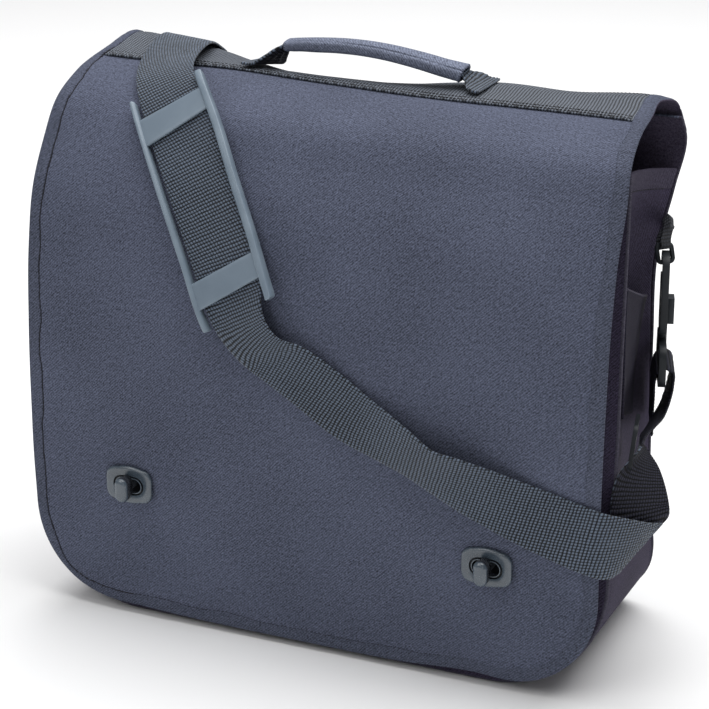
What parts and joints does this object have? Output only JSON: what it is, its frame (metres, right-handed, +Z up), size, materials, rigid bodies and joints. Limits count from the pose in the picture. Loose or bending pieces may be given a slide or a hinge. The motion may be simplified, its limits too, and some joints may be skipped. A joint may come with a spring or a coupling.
{
  "type": "tool bag",
  "caption": "Dark cloth messenger-style tool bag with a deep flap, plastic turn-locks, carry handle, side gussets with a pocket, and a webbing shoulder strap with a plastic shoulder frame.",
  "frame": {"origin": "middle of the underside, on the surface the bag stands on", "axes": "+Z up, the flap's front faces -Y, +X to the right seen from the front"},
  "size_m": [0.435, 0.1988, 0.382],
  "materials": {
    "cloth": "dark slate woven polyester, matt",
    "webbing": "grey ribbed webbing, matt",
    "plastic": "blue-grey moulded plastic, satin",
    "dark_plastic": "black moulded plastic, satin"
  },
  "bodies": {
    "bag": {"front_panel": "cloth", "back_panel": "cloth", "gusset": "cloth", "flap": "cloth", "side_pocket": "cloth", "handle_grip": "cloth", "top_webbing": "webbing", "handle_strap": "webbing", "shoulder_strap": "webbing", "tab_right": "webbing", "tab_left": "webbing", "shoulder_pad": "plastic", "lock_plate_left": "plastic", "lock_plate_right": "plastic", "lock_base_left": "dark_plastic", "lock_base_right": "dark_plastic", "hook_right": "dark_plastic", "hook_left": "dark_plastic", "ring_right": "dark_plastic", "ring_left": "dark_plastic", "strap_slide": "dark_plastic"},
    "knob_left": {"lock_knob_left": "plastic"},
    "knob_right": {"lock_knob_right": "plastic"},
    "latch": {"latch_right": "dark_plastic"}
  },
  "joints": [
    {"name": "lock_left_turn", "type": "hinge", "parent": "bag", "child": "knob_left", "pos_m": [-0.1248, -0.0918, 0.097], "axis": [0, -1, 0], "range_deg": [0, 90]},
    {"name": "lock_right_turn", "type": "hinge", "parent": "bag", "child": "knob_right", "pos_m": [0.1286, -0.0911, 0.0855], "axis": [0, -1, 0], "range_deg": [0, 90]},
    {"name": "latch_slide", "type": "slide", "parent": "bag", "child": "latch", "axis": [0, 0, -1], "range_m": [0, 0.008], "stiffness_N_per_m": 250, "springref_m": -0.004}
  ]
}
